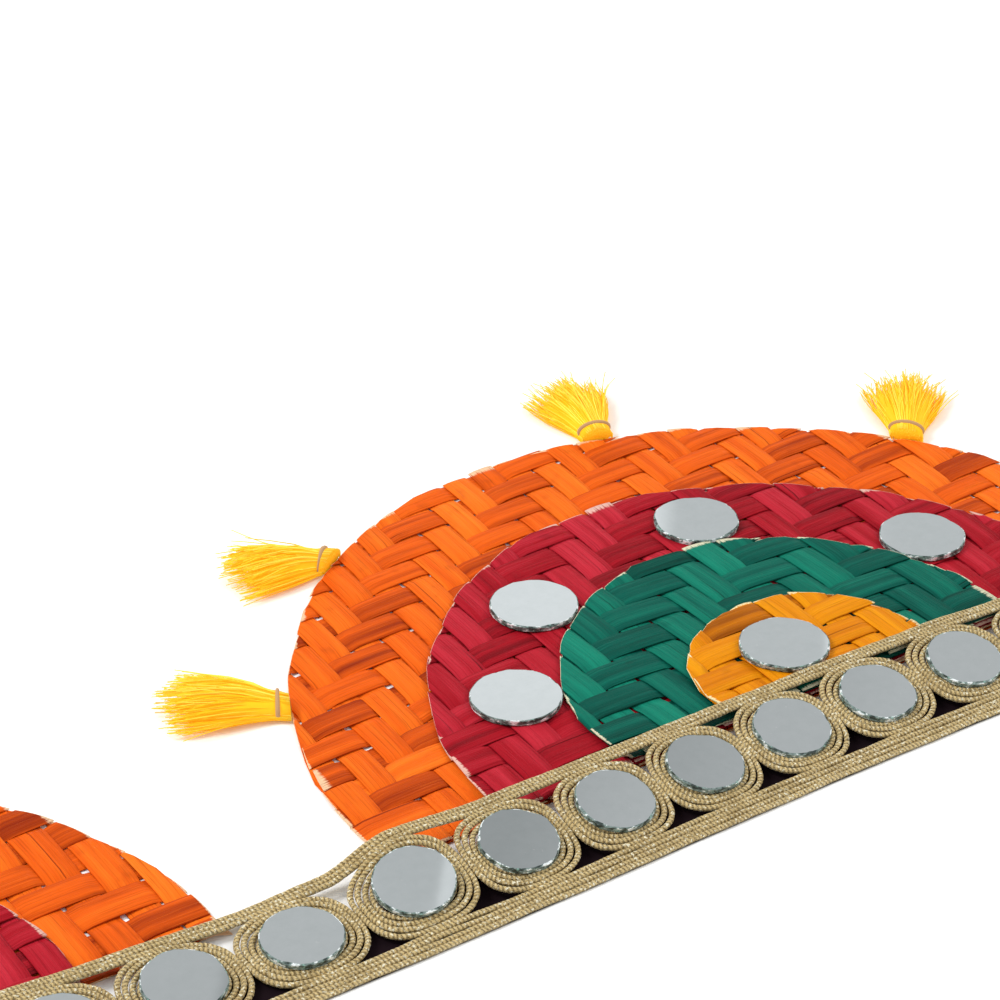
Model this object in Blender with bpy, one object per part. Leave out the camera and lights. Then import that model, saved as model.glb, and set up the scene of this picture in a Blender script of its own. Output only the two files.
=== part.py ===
"""Toran door hanging, lying face up on a flat surface with its fans spread.

A lace of gold cord and small round mirrors carries three fans. A fan is four half-round mats of
plaited palm strip laid one on the other, with five larger mirrors and four silky tassels on it.

X runs along the lace, Y from the lace towards the tassels, Z up from the surface. The origin is
the middle of the hanging's footprint. All sizes below are in millimetres.
"""

import math

import bmesh
import bpy
import numpy as np
from mathutils import Vector
from mathutils.geometry import delaunay_2d_cdt

MM = 0.001
SEAT = 0.3

FAN_PITCH = 281.0
FAN_CENTRES = (-FAN_PITCH, 0.0, FAN_PITCH)
MAT_THICK = 1.1
MAT_ARC_POINTS = 36
MAT_WAVE = 0.01
MAT_RIPPLE = 0.3
# name, radius, centre x and y of its arc, y of its straight edge, colour
MATS = (
    ("orange", 120.4, -2.4, 5.7, -10.0, (0.85, 0.16, 0.012)),
    ("crimson", 91.2, -0.8, -1.4, -10.0, (0.38, 0.010, 0.020)),
    ("green", 58.6, 0.4, 0.4, -10.0, (0.006, 0.19, 0.12)),
    ("amber", 31.3, 2.6, -3.5, -8.5, (0.85, 0.32, 0.006)),
)
# for each fan and mat, how far its radius, centre x and centre y are off those of MATS
HAND_CUT = (
    ((-8.6, 8.2, -17.4), (0.0, -7.7, -4.3), (0.0, -5.0, -2.0), (0.0, -3.0, 0.0)),
    ((0.0, 0.0, 0.0), (0.0, 0.0, 0.0), (0.0, 0.0, 0.0), (0.0, 0.0, 0.0)),
    ((-1.2, 1.5, -0.6), (0.8, -1.6, 0.5), (-0.9, 1.2, 0.0), (0.6, -1.0, 0.4)),
)

GLASS_THICK = 1.5
GLASS_SIDES = 18
FAN_GLASS_RADIUS = 11.0
# angles round the green mat, in degrees, of the mirrors that lie against its edge
CRIMSON_GLASS_ANGLES = (24.8, 74.3, 124.4, 158.5)
AMBER_GLASS_PLACE = (-0.5, 5.6)

# angle round the orange mat, the way the threads point, length from knot to tips
TASSELS = (
    (155.6, 144.0, 31.0),
    (123.5, 162.0, 28.0),
    (76.5, 79.0, 29.0),
    (35.0, 52.0, 31.0),
)
# how far each fan's tassels are turned round it, in degrees
TASSEL_TURNS = (12.0, 0.0, -6.0)
LOCKS_ACROSS = 5
LOCKS_HIGH = 3
LOCK_STEPS = 3
LOCK_WIDE = 3.4
LOCK_HIGH = 2.2
LOCK_LIFT = 2.9
TASSEL_SPREAD = 10.0
# the knot's rings: distance from the mat, half width, height
KNOT_RINGS = (
    (0.0, 3.4, 4.2),
    (2.2, 4.0, 5.2),
    (4.4, 3.6, 4.8),
    (6.6, 4.9, 6.3),
)

RING_PITCH = 27.0
RING_COUNT = 30
RING_SHIFT = 8.0
RING_DRIFT = 2.1
RING_DRIFT_STEP = 40.0
RING_DRIFT_START = 6.2
RING_SIDES = 16
LACE_GLASS_RADIUS = 9.35
LACE_END = 6.0
LACE_Y = -23.0
LACE_SLANT = 0.984
LACE_SWAY = 1.0
LACE_NEAR = -18.0
LACE_FAR = 16.4
RAMP_START = -16.6
RAMP_END = 12.0
GROOVE = 1.0
CREST = 1.5
LACE_GLASS_TOP = 2.7
# radius and height of each round of cord, from the glass outwards
RING_ROUNDS = (
    (LACE_GLASS_RADIUS - 0.1, LACE_GLASS_TOP),
    (LACE_GLASS_RADIUS + 0.1, GROOVE),
    (10.2, CREST),
    (10.9, GROOVE),
    (11.6, CREST),
)
# place across the lace and height of each straight row of cord
ROW_LINES = (
    (LACE_NEAR, GROOVE),
    (RAMP_START, CREST),
    (-15.2, GROOVE),
    (-13.6, CREST),
    (RAMP_END, GROOVE),
    (13.4, CREST),
    (14.5, GROOVE),
    (15.5, CREST),
    (LACE_FAR, GROOVE),
)
# along and across, from the touching point of two rings, of the three-sided gaps
NEAR_GAP = ((-5.0, -11.9), (5.0, -11.9), (2.6, -9.3), (1.2, -7.2), (0.0, -5.0), (-1.2, -7.2), (-2.6, -9.3))
FAR_GAP = ((-4.3, 11.7), (-2.2, 9.3), (-1.1, 7.4), (0.0, 5.2), (1.1, 7.4), (2.2, 9.3), (4.3, 11.7))
# distance from a fan's centre and height of the lace's far edge over the surface
LACE_LIFT = (
    (-141.0, 2.6),
    (-122.0, 8.0),
    (-98.0, 6.2),
    (-32.0, 5.6),
    (32.0, 5.6),
    (60.0, 4.6),
    (92.0, 3.2),
    (119.0, 1.8),
    (140.0, 2.6),
)
LACE_END_SETTLES = 12.0

CORD_GOLD = (0.46, 0.31, 0.10)
SILK_YELLOW = (0.97, 0.56, 0.03)
GLASS_GREY = (0.62, 0.66, 0.70)


def finish(name, colour, roughness, metallic):
    material = bpy.data.materials.new(name)
    material.use_nodes = True
    shader = material.node_tree.nodes["Principled BSDF"]
    shader.inputs["Base Color"].default_value = (*colour, 1.0)
    shader.inputs["Roughness"].default_value = roughness
    shader.inputs["Metallic"].default_value = metallic
    return material


def add_piece(name, bm, material):
    """Make one object from a mesh in millimetres, with its faces pointing outwards."""
    bmesh.ops.recalc_face_normals(bm, faces=bm.faces[:])
    bmesh.ops.scale(bm, vec=(MM, MM, MM), verts=bm.verts[:])
    mesh = bpy.data.meshes.new(name)
    bm.to_mesh(mesh)
    bm.free()
    mesh.materials.append(material)
    mesh.shade_smooth()
    mesh.set_sharp_from_angle(angle=math.radians(35))
    piece = bpy.data.objects.new(name, mesh)
    bpy.context.scene.collection.objects.link(piece)
    return piece


def layer_floor(layer):
    """Height of the underside of the mat that lies at this place in the stack, from 0."""
    return layer * (MAT_THICK + SEAT)


def mat_arc(fan, layer):
    """Radius and centre of a mat's arc, the centre counted from the fan's place on the lace."""
    _, radius, centre_x, centre_y, _, _ = MATS[layer]
    longer, right, up = HAND_CUT[fan][layer]
    return radius + longer, centre_x + right, centre_y + up


def mat_radius(fan, layer, angle):
    """Radius of a mat's cut edge at an angle in radians: an arc with the scissors' small waves."""
    radius = mat_arc(fan, layer)[0]
    phase = 1.7 * (fan - 1) + 0.9 * layer + 0.52
    wave = MAT_WAVE * radius * math.sin(4 * angle + phase)
    ripple = MAT_RIPPLE * math.sin(17 * angle + 2 * phase)
    return radius + wave + ripple


def mat_outline(fan, layer):
    """Points round a mat: the arc from one end of its straight edge to the other."""
    radius, centre_x, centre_y = mat_arc(fan, layer)
    base_y = MATS[layer][4]
    below = math.asin((centre_y - base_y) / radius)
    points = []
    for angle in np.linspace(-below, math.pi + below, MAT_ARC_POINTS):
        reach = mat_radius(fan, layer, angle)
        x = FAN_CENTRES[fan] + centre_x + reach * math.cos(angle)
        y = max(base_y, centre_y + reach * math.sin(angle))
        points.append((x, y))
    return points


def add_mat(fan, layer, material):
    """One half-round mat, a flat sheet whose edge is cut by hand."""
    bm = bmesh.new()
    floor = layer_floor(layer)
    outline = bm.faces.new([bm.verts.new((x, y, floor)) for x, y in mat_outline(fan, layer)])
    raised = bmesh.ops.extrude_face_region(bm, geom=[outline])
    for element in raised["geom"]:
        if isinstance(element, bmesh.types.BMVert):
            element.co.z += MAT_THICK
    add_piece(f"fan_{fan + 1}_{MATS[layer][0]}_mat", bm, material)


def add_fan_mirror(name, x, y, carried_by, material):
    """A round cut mirror glued on top of the mat at this place in the stack."""
    bm = bmesh.new()
    bmesh.ops.create_cone(
        bm,
        cap_ends=True,
        segments=GLASS_SIDES,
        radius1=FAN_GLASS_RADIUS,
        radius2=FAN_GLASS_RADIUS - 0.2,
        depth=GLASS_THICK,
    )
    height = layer_floor(carried_by) + MAT_THICK + SEAT + GLASS_THICK / 2
    bmesh.ops.translate(bm, vec=(x, y, height), verts=bm.verts[:])
    add_piece(name, bm, material)


def add_fan_mirrors(fan, material):
    """Four mirrors on the crimson mat against the green mat's edge, and one on the amber mat."""
    _, green_x, green_y = mat_arc(fan, 2)
    for number, degrees in enumerate(CRIMSON_GLASS_ANGLES, 1):
        angle = math.radians(degrees)
        reach = max(mat_radius(fan, 2, angle + turn) for turn in (-0.1, -0.05, 0.0, 0.05, 0.1))
        reach += FAN_GLASS_RADIUS + SEAT
        x = FAN_CENTRES[fan] + green_x + reach * math.cos(angle)
        y = green_y + reach * math.sin(angle)
        add_fan_mirror(f"fan_{fan + 1}_mirror_{number}", x, y, 1, material)
    x = FAN_CENTRES[fan] + AMBER_GLASS_PLACE[0]
    add_fan_mirror(f"fan_{fan + 1}_mirror_5", x, AMBER_GLASS_PLACE[1], 3, material)


def lock_ring(column, row, step, length, jitter):
    """The three corners of a lock of thread at one step: along, sideways and up from the mat."""
    share = step / LOCK_STEPS
    knot_front, knot_half, knot_high = KNOT_RINGS[-1]
    along = knot_front + (length - knot_front) * share * (1 + jitter[0])
    middle = (LOCKS_ACROSS - 1) / 2
    place = (column - middle) / middle
    stagger = 0.25 * (row % 2) * share
    side = knot_half * 0.8 * place * (1 - share) + (place + stagger) * TASSEL_SPREAD * share**0.75
    side += jitter[1] * share**2
    taper = 1 - 0.55 * share**3
    wide = LOCK_WIDE * taper * min(1.0, 0.55 + share)
    high = LOCK_HIGH * taper
    floor = row * (LOCK_LIFT - 0.55 * share**2)
    apex = side + 0.5 * wide * (1 if (column + row) % 2 else -1) * (1 - share)
    return (along, side - wide / 2, floor), (along, side + wide / 2, floor), (along, apex, floor + high)


def add_tassel(name, fan, angle, direction, length, seed, material):
    """A tied hank of thread: a knot with a grid of faces in front, each one drawn out to a lock."""
    draw = np.random.default_rng(seed)
    bm = bmesh.new()
    front, half, high = KNOT_RINGS[-1]
    grid = [
        [
            bm.verts.new((front, half * (2 * column / LOCKS_ACROSS - 1), high * row / LOCKS_HIGH))
            for column in range(LOCKS_ACROSS + 1)
        ]
        for row in range(LOCKS_HIGH + 1)
    ]
    for row in range(LOCKS_HIGH):
        for column in range(LOCKS_ACROSS):
            a, b = grid[row][column], grid[row][column + 1]
            d, c = grid[row + 1][column], grid[row + 1][column + 1]
            root, rest = ((a, b, c), (a, c, d)) if (column + row) % 2 else ((a, b, d), (b, c, d))
            bm.faces.new(rest)
            jitter = (draw.uniform(-0.14, 0.05), draw.uniform(-0.8, 0.8))
            ring = list(root)
            for step in range(1, LOCK_STEPS + 1):
                corners = lock_ring(column, row, step, length, jitter)
                following = [bm.verts.new(corner) for corner in corners]
                for i in range(3):
                    j = (i + 1) % 3
                    bm.faces.new((ring[i], ring[j], following[j], following[i]))
                ring = following
            bm.faces.new(ring)
    front_rim = grid[0][:-1] + [row[-1] for row in grid[:-1]]
    front_rim += grid[-1][:0:-1] + [row[0] for row in grid[:0:-1]]
    rim = front_rim
    for along, ring_half, ring_high in KNOT_RINGS[-2::-1]:
        following = [
            bm.verts.new((along, vert.co.y * ring_half / half, vert.co.z * ring_high / high))
            for vert in front_rim
        ]
        for i, vert in enumerate(rim):
            j = (i + 1) % len(rim)
            bm.faces.new((vert, rim[j], following[j], following[i]))
        rim = following
    bm.faces.new(rim)
    place_tassel(bm, fan, angle, direction)
    add_piece(name, bm, material)


def place_tassel(bm, fan, angle, direction):
    """Turn a tassel to its direction and set its knot against the orange mat's edge.

    The knot is slanted, most at its root, so that its root lies along the edge.
    """
    reach = mat_radius(fan, 0, angle) + SEAT
    _, centre_x, centre_y = mat_arc(fan, 0)
    x = FAN_CENTRES[fan] + centre_x + reach * math.cos(angle)
    y = centre_y + reach * math.sin(angle)
    along = Vector((math.cos(direction), math.sin(direction), 0))
    side = Vector((-math.sin(direction), math.cos(direction), 0))
    for vert in bm.verts:
        root_share = max(0.0, 1 - vert.co.x / KNOT_RINGS[-1][0])
        slant = vert.co.y * math.tan(direction - angle) * root_share
        vert.co = Vector((x, y, vert.co.z)) + along * (vert.co.x + slant) + side * vert.co.y


def ring_places():
    """Place along the lace of each ring's centre: an even pitch with a slow hand-made drift."""
    middle = RING_COUNT // 2
    places = []
    for number in range(-middle, RING_COUNT - middle):
        drift = RING_DRIFT * math.sin(math.radians(RING_DRIFT_STEP * (number + RING_DRIFT_START)))
        places.append(RING_SHIFT + RING_PITCH * number + drift)
    return places


def lace_ends():
    """Where the lace is cut at its two ends, a short way past its last rings."""
    places = ring_places()
    beyond = RING_PITCH / 2 + LACE_END
    return places[0] - beyond, places[-1] + beyond


def ease(share):
    return share * share * (3 - 2 * share)


def lace_lift(x):
    """Height of the lace's far edge: eased between the rows of LACE_LIFT, and down at its ends."""
    from_fan = (x + FAN_PITCH / 2) % FAN_PITCH - FAN_PITCH / 2
    height = LACE_LIFT[0][1]
    for (here, low), (there, high) in zip(LACE_LIFT, LACE_LIFT[1:]):
        if here <= from_fan <= there:
            height = low + (high - low) * ease((from_fan - here) / (there - here))
    start, end = lace_ends()
    settles = min(1.0, max(0.0, min(x - start, end - x) / LACE_END_SETTLES))
    return SEAT + (height - SEAT) * ease(settles)


def lace_point(along, across, above):
    """Where a point of the lace lies: its near edge is on the surface and it slants up the mats."""
    ramp = min(1.0, max(0.0, (across - RAMP_START) / (RAMP_END - RAMP_START)))
    sway = LACE_SWAY * math.cos(2 * math.pi * along / FAN_PITCH)
    y = LACE_Y + sway + LACE_SLANT * across
    return along, y, lace_lift(along) * ramp + above


def lace_gaps():
    """The three-sided gaps between rings and rows, each a list of places along and across."""
    gaps = []
    places = ring_places()
    for left, right in zip(places, places[1:]):
        middle = (left + right) / 2
        room = 2 * (right - left) / RING_PITCH - 1
        for shape in (NEAR_GAP, FAR_GAP):
            flat = max(abs(across) for _, across in shape)
            gap = []
            for along, across in shape:
                short = math.copysign(flat - (flat - abs(across)) * room, across)
                gap.append((middle + along * room, short))
            gaps.append(gap)
    return gaps


def inside(point, outline):
    """Whether a point is inside a closed outline, by counting the edges to its right."""
    x, y = point
    crossings = 0
    for (x0, y0), (x1, y1) in zip(outline, outline[1:] + outline[:1]):
        if (y0 > y) != (y1 > y) and x < x0 + (y - y0) * (x1 - x0) / (y1 - y0):
            crossings += 1
    return crossings % 2 == 1


def lace_face(lines, rounds, gaps):
    """Triangles of one face of the lace, and its points as (along, across, height).

    The face is a triangulation that keeps every row line, round of cord and gap edge.
    """
    points, edges = [], []

    def chain(chain_points, closed):
        first = len(points)
        points.extend(chain_points)
        count = len(chain_points)
        edges.extend((first + i, first + i + 1) for i in range(count - 1))
        if closed:
            edges.append((first + count - 1, first))

    stops = np.linspace(*lace_ends(), 2 * RING_COUNT + 1).tolist()
    for across, height in lines:
        chain([(along, across, height) for along in stops], False)
    for gap in gaps:
        chain([(along, across, GROOVE) for along, across in gap], True)
    for centre in ring_places():
        for radius, height in rounds:
            turns = [2 * math.pi * i / RING_SIDES for i in range(RING_SIDES)]
            circle = [(centre + radius * math.cos(a), radius * math.sin(a), height) for a in turns]
            chain(circle, True)
    flat = [Vector(point[:2]) for point in points]
    _, _, faces, originals, _, _ = delaunay_2d_cdt(flat, edges, [], 0, 1e-5)
    triangles = []
    for face in faces:
        corners = [originals[i][0] for i in face]
        middle = sum((flat[i] for i in corners), Vector((0, 0))) / 3
        if not any(inside(middle, gap) for gap in gaps if abs(gap[0][0] - middle.x) < RING_PITCH):
            triangles.append(corners)
    return points, triangles


def add_lace(material):
    """The whole lace: its ribbed face, its plain back, and the walls of its edge and gaps."""
    gaps = lace_gaps()
    faces = (lace_face(ROW_LINES, RING_ROUNDS, gaps), lace_face(ROW_LINES, (), gaps))
    bm = bmesh.new()
    sides = []
    for side, (points, triangles) in enumerate(faces):
        used = sorted({i for triangle in triangles for i in triangle})
        verts = {}
        for i in used:
            along, across, height = points[i]
            place = lace_point(along, across, height if side == 0 else 0.0)
            verts[i] = bm.verts.new(place)
        for triangle in triangles:
            bm.faces.new([verts[i] for i in triangle])
        sides.append({(round(points[i][0], 4), round(points[i][1], 4)): verts[i] for i in used})
    face_of = {vert: key for side in sides for key, vert in side.items()}
    for edge in [e for e in bm.edges if e.is_boundary and face_of[e.verts[0]] in sides[0]]:
        start, end = edge.verts
        if sides[0].get(face_of[start]) is start and sides[0].get(face_of[end]) is end:
            below_start, below_end = sides[1][face_of[start]], sides[1][face_of[end]]
            bm.faces.new((start, end, below_end, below_start))
    add_piece("mirror_lace", bm, material)


def centre_footprint():
    """Move every mesh so that the origin is the middle of the hanging's footprint."""
    corners = []
    for piece in bpy.context.scene.objects:
        corners.extend(vert.co[:2] for vert in piece.data.vertices)
    corners = np.array(corners)
    middle = (corners.min(axis=0) + corners.max(axis=0)) / 2
    for piece in bpy.context.scene.objects:
        for vert in piece.data.vertices:
            vert.co.x -= middle[0]
            vert.co.y -= middle[1]


for old in list(bpy.data.objects):
    bpy.data.objects.remove(old, do_unlink=True)

strip_finishes = [finish(f"{mat[0]}_palm_strip", mat[5], 0.6, 0.0) for mat in MATS]
mirror_glass = finish("mirror_glass", GLASS_GREY, 0.05, 1.0)
silk = finish("yellow_silk", SILK_YELLOW, 0.5, 0.0)
gold_cord = finish("gold_cord", CORD_GOLD, 0.4, 0.6)

add_lace(gold_cord)
for fan_number in range(len(FAN_CENTRES)):
    for mat_number in range(len(MATS)):
        add_mat(fan_number, mat_number, strip_finishes[mat_number])
    add_fan_mirrors(fan_number, mirror_glass)
    for tassel_number, (round_angle, points_to, tassel_length) in enumerate(TASSELS, 1):
        add_tassel(
            f"fan_{fan_number + 1}_tassel_{tassel_number}",
            fan_number,
            math.radians(round_angle + TASSEL_TURNS[fan_number]),
            math.radians(points_to + TASSEL_TURNS[fan_number]),
            tassel_length,
            10 * fan_number + tassel_number,
            silk,
        )
centre_footprint()
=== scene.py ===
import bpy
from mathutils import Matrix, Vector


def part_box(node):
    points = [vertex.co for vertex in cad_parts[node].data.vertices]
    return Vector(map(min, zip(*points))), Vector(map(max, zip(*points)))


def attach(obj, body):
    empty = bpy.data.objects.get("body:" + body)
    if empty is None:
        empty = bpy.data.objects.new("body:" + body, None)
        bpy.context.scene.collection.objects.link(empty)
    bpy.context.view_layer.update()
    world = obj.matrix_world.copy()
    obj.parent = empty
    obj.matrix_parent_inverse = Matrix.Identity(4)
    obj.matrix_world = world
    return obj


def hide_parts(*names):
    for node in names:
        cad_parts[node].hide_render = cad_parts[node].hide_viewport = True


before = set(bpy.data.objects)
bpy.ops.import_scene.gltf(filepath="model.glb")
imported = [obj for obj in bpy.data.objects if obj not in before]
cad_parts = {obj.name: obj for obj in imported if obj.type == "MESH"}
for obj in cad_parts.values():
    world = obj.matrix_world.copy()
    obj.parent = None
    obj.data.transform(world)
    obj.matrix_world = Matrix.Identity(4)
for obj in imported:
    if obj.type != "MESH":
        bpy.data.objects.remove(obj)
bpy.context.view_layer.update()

import math

import bpy
import numpy as np
from mathutils import Matrix, Vector

# The fans' places.
# Three fans hang side by side on one lace. Each one is found from the mirror that is glued to its
# amber mat. All sizes in this file are in millimetres.
MM = 0.001
AMBER_MIRROR_X, AMBER_MIRROR_Y = -0.5, 5.6
FANS = (1, 2, 3)


def fan_place(fan):
    """The fan's place on the lace: half way between its amber mirror's corners, less its offset."""
    low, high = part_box(f"fan_{fan}_mirror_5")
    middle = (low + high) / 2 / MM
    return middle.x - AMBER_MIRROR_X, middle.y - AMBER_MIRROR_Y


HOME_X, HOME_Y = fan_place(2)
FAN_PITCH = fan_place(3)[0] - HOME_X


# The camera and the studio.
# The hanging lies on a pale floor and is seen from low on its lace's side, so that the middle fan
# and the lace's left half fill the picture.
SENSOR_WIDE = 36.0
FOCAL = 110.03
LOOK_AT = (-13.99, 111.25, 0.0)
CAMERA_FAR = 818.67
CAMERA_TURN, CAMERA_RISE, CAMERA_ROLL = -33.235, 30.459, -0.273


def camera_axes(turn, rise, roll):
    """Right, up and back of a camera turned about Z, raised over the floor and rolled, in degrees."""
    turn, rise, roll = (math.radians(value) for value in (turn, rise, roll))
    back = Vector((math.sin(turn) * math.cos(rise), -math.cos(turn) * math.cos(rise), math.sin(rise)))
    right = Vector((0, 0, 1)).cross(back).normalized()
    up = back.cross(right)
    rolled_right = right * math.cos(roll) + up * math.sin(roll)
    rolled_up = up * math.cos(roll) - right * math.sin(roll)
    return rolled_right, rolled_up, back


lens = bpy.data.cameras.new("photo_view")
lens.sensor_width = SENSOR_WIDE
lens.lens = FOCAL
lens.clip_start = 0.01
lens.clip_end = 50
camera = bpy.data.objects.new("photo_view", lens)
bpy.context.scene.collection.objects.link(camera)
right_axis, up_axis, back_axis = camera_axes(CAMERA_TURN, CAMERA_RISE, CAMERA_ROLL)
eye = Vector((HOME_X + LOOK_AT[0], HOME_Y + LOOK_AT[1], LOOK_AT[2])) + back_axis * CAMERA_FAR
camera_frame = Matrix((right_axis, up_axis, back_axis)).transposed().to_4x4()
camera.matrix_world = Matrix.Translation(eye * MM) @ camera_frame
bpy.context.scene.camera = camera
bpy.context.scene.view_settings.view_transform = "Standard"


def soft_light(name, place, size, watts):
    """A square soft box at place, in millimetres from the middle fan, turned to face it."""
    light = bpy.data.lights.new(name, "AREA")
    light.size = size * MM
    light.energy = watts
    box = bpy.data.objects.new(name, light)
    bpy.context.scene.collection.objects.link(box)
    box.location = Vector((HOME_X + place[0], HOME_Y + place[1], place[2])) * MM
    aim = Vector((HOME_X, HOME_Y + 40, 0)) * MM - box.location
    box.rotation_euler = aim.to_track_quat("-Z", "Y").to_euler()
    box.visible_glossy = False


soft_light("left_soft_box", (-900, 500, 1100), 500, 13)
soft_light("right_soft_box", (1000, -300, 1300), 900, 8)


def node(tree, kind, **sockets):
    """Add a shader node and set its input sockets by name."""
    made = tree.nodes.new(kind)
    for key, value in sockets.items():
        made.inputs[key].default_value = value
    return made


def remap(tree, source, low, high, to_low, to_high):
    """Stretch a value's range from low..high to to_low..to_high, cut off at both ends."""
    made = tree.nodes.new("ShaderNodeMapRange")
    for key, value in zip(("From Min", "From Max", "To Min", "To Max"), (low, high, to_low, to_high)):
        made.inputs[key].default_value = value
    tree.links.new(source, made.inputs["Value"])
    return made.outputs[0]


def arithmetic(tree, operation, first, second=0.0, third=0.0):
    """One sum, product or other operation on values that are sockets or fixed numbers."""
    made = tree.nodes.new("ShaderNodeMath")
    made.operation = operation
    for slot, value in enumerate((first, second, third)):
        if isinstance(value, bpy.types.NodeSocket):
            tree.links.new(value, made.inputs[slot])
        else:
            made.inputs[slot].default_value = value
    return made.outputs[0]


def blend_colours(tree, factor, first, second):
    """Mix two colours, each a socket or a fixed colour, by a factor."""
    made = tree.nodes.new("ShaderNodeMix")
    made.data_type = "RGBA"
    for slot, value in ((0, factor), (6, first), (7, second)):
        if isinstance(value, bpy.types.NodeSocket):
            tree.links.new(value, made.inputs[slot])
        else:
            made.inputs[slot].default_value = value
    return made.outputs[2]


# What the mirrors show: the studio is bright near the floor and greyer overhead, and a grey
# screen stands to the right of the view.
world = bpy.data.worlds.new("studio")
bpy.context.scene.world = world
world.use_nodes = True
sky_tree = world.node_tree
sky = sky_tree.nodes["Background"]
sky_split = sky_tree.nodes.new("ShaderNodeSeparateXYZ")
sky_tree.links.new(sky_tree.nodes.new("ShaderNodeTexCoord").outputs["Generated"], sky_split.inputs[0])
sky_ramp = sky_tree.nodes.new("ShaderNodeValToRGB")
sky_tree.links.new(sky_split.outputs["Z"], sky_ramp.inputs[0])
# height of a direction (its Z) and how bright the studio is there
SKY_BANDS = ((0.0, 1.0), (0.56, 0.92), (0.64, 0.62), (0.82, 0.55), (0.95, 0.9))
for number, (height, grey) in enumerate(SKY_BANDS):
    stop = sky_ramp.color_ramp.elements[number] if number < 2 else sky_ramp.color_ramp.elements.new(height)
    stop.position = height
    stop.color = (grey * 0.985, grey, grey, 1)
sky_bearing = arithmetic(sky_tree, "ARCTAN2", sky_split.outputs["X"], sky_split.outputs["Y"])
SCREEN_EDGE = math.radians(3.4 - CAMERA_TURN)
screen = remap(sky_tree, sky_bearing, SCREEN_EDGE, SCREEN_EDGE + 0.008, 0.0, 1.0)
screen_gap = remap(sky_tree, sky_bearing, SCREEN_EDGE + 0.066, SCREEN_EDGE + 0.068, 1.0, 0.0)
screen_rest = remap(sky_tree, sky_bearing, SCREEN_EDGE + 0.080, SCREEN_EDGE + 0.086, 0.0, 1.0)
screen_end = remap(sky_tree, sky_bearing, SCREEN_EDGE + 0.25, SCREEN_EDGE + 0.35, 1.0, 0.0)
screen_foot = remap(sky_tree, sky_split.outputs["Z"], 0.30, 0.40, 0.0, 0.32)
screen = arithmetic(sky_tree, "MULTIPLY", screen, arithmetic(sky_tree, "MAXIMUM", screen_gap, screen_rest))
screen = arithmetic(sky_tree, "MULTIPLY", screen, arithmetic(sky_tree, "MULTIPLY", screen_end, screen_foot))
SCREEN_GREY = (0.05, 0.06, 0.06, 1)
sky_colour = blend_colours(sky_tree, screen, sky_ramp.outputs["Color"], SCREEN_GREY)
sky_tree.links.new(sky_colour, sky.inputs["Color"])
sky.inputs["Strength"].default_value = 0.92

# The floor is pale and plain. Under the lace's near half, which is only seen through its gaps,
# its colour holds a dark band of painted shade that stands for the deep shade there.
FLOOR_HALF, FLOOR_DROP = 4000.0, 0.05
SHADE_NEAR, SHADE_FAR, SHADE_SWAY, SHADE_HALF = -40.3, -17.0, 1.0, 400.0
SHADE_NEAR_SOFT, SHADE_FAR_SOFT, SHADE_END_SOFT = 0.3, 5.0, 5.0
floor_mesh = bpy.data.meshes.new("studio_floor")
floor_corners = [(-1, -1), (1, -1), (1, 1), (-1, 1)]
floor_points = [(x * FLOOR_HALF * MM, y * FLOOR_HALF * MM, -FLOOR_DROP * MM) for x, y in floor_corners]
floor_mesh.from_pydata(floor_points, [], [(0, 1, 2, 3)])
studio_floor = bpy.data.objects.new("studio_floor", floor_mesh)
bpy.context.scene.collection.objects.link(studio_floor)
floor_finish = bpy.data.materials.new("pale_floor")
floor_finish.use_nodes = True
floor_tree = floor_finish.node_tree
floor_shader = floor_tree.nodes["Principled BSDF"]
floor_split = floor_tree.nodes.new("ShaderNodeSeparateXYZ")
floor_tree.links.new(floor_tree.nodes.new("ShaderNodeTexCoord").outputs["Object"], floor_split.inputs[0])
fan_turn = 2 * math.pi / FAN_PITCH
floor_x = floor_split.outputs["X"]
fan_turns = arithmetic(floor_tree, "MULTIPLY_ADD", floor_x, fan_turn / MM, -HOME_X * fan_turn)
floor_sway = arithmetic(floor_tree, "MULTIPLY", arithmetic(floor_tree, "COSINE", fan_turns), -SHADE_SWAY * MM)
floor_across = arithmetic(floor_tree, "ADD", floor_split.outputs["Y"], floor_sway)
shade_near, shade_far = HOME_Y + SHADE_NEAR, HOME_Y + SHADE_FAR
near_from, near_to = (shade_near - SHADE_NEAR_SOFT) * MM, (shade_near + SHADE_NEAR_SOFT) * MM
shade_from = remap(floor_tree, floor_across, near_from, near_to, 0.0, 1.0)
shade_to = remap(floor_tree, floor_across, (shade_far - SHADE_FAR_SOFT) * MM, shade_far * MM, 1.0, 0.0)
floor_along = arithmetic(floor_tree, "ABSOLUTE", floor_x)
shade_ends = remap(floor_tree, floor_along, SHADE_HALF * MM, (SHADE_HALF + SHADE_END_SOFT) * MM, 1.0, 0.0)
shade = arithmetic(floor_tree, "MULTIPLY", shade_from, shade_to)
shade = arithmetic(floor_tree, "MULTIPLY", shade, shade_ends)
# painted shade: the band's near-black colour is painted onto the floor under the lace
floor_colour = blend_colours(floor_tree, shade, (0.97, 0.97, 0.97, 1), (0.012, 0.007, 0.009, 1))
floor_tree.links.new(floor_colour, floor_shader.inputs["Base Color"])
floor_shader.inputs["Roughness"].default_value = 0.95
floor_shader.inputs["Specular IOR Level"].default_value = 0.0
floor_mesh.materials.append(floor_finish)


# The plaited mats.
# Each fan is four half-round mats cut with scissors from sheets of dyed palm strip, plaited two
# over and two under. The largest lies on the floor and each smaller one is glued on the last.
MAT_THICK, MAT_STEP = 1.1, 1.4
MAT_WAVE, MAT_RIPPLE = 0.01, 0.3
STRIP_RISE, STRIP_ARCH, STRIP_CROWN = 0.25, 0.20, 0.16
DIVE_FROM, DIVE_TO = 0.80, 1.05
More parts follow.
